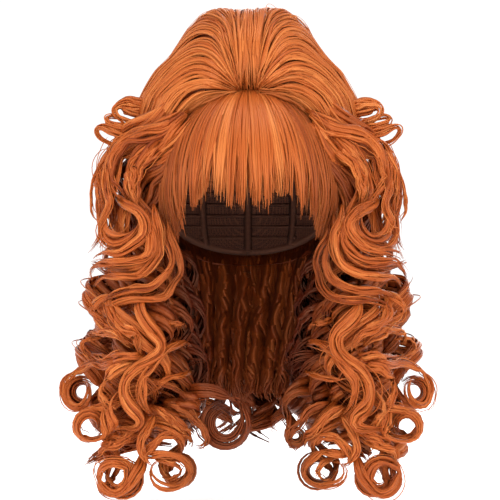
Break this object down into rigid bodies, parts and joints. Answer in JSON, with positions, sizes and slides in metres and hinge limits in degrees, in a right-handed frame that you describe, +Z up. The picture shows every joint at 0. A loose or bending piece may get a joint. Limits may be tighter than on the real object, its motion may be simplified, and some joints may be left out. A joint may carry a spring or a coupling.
{
  "type": "long curly bouffant wig",
  "caption": "Long curly wig for an adult: a gathered beehive crown, a full straight fringe, swept temples and long ringlets on a hollow net cap",
  "frame": {"origin": "the top of the cap's hollow, where it rests on the top of the wearer's head", "axes": "+Z up, the wearer faces -Y, +X is the wearer's left"},
  "size_m": [0.342, 0.2349, 0.4541],
  "materials": {
    "hair": "glossy orange synthetic fibre, combed in locks",
    "net": "dull dark brown stretch net"
  },
  "bodies": {
    "root": {"wig_cap": "net", "crown": "hair", "fringe": "hair", "temple_sweep_right": "hair", "temple_wave_right": "hair", "temple_loops_right": "hair", "cheek_wave_right": "hair", "middle_curl_right": "hair", "outer_curl_right": "hair", "front_curl_right": "hair", "side_curl_right": "hair", "neck_curl_right": "hair", "shoulder_curl_right": "hair", "back_curl_right": "hair", "side_sweep_right": "hair", "ear_sweep_right": "hair", "side_wave_right": "hair", "nape_wave_right": "hair", "temple_sweep_left": "hair", "temple_wave_left": "hair", "temple_loops_left": "hair", "cheek_wave_left": "hair", "middle_curl_left": "hair", "outer_curl_left": "hair", "front_curl_left": "hair", "side_curl_left": "hair", "neck_curl_left": "hair", "shoulder_curl_left": "hair", "back_curl_left": "hair", "side_sweep_left": "hair", "ear_sweep_left": "hair", "side_wave_left": "hair", "nape_wave_left": "hair", "back_curl_middle": "hair", "nape_hair": "hair"}
  },
  "joints": []
}
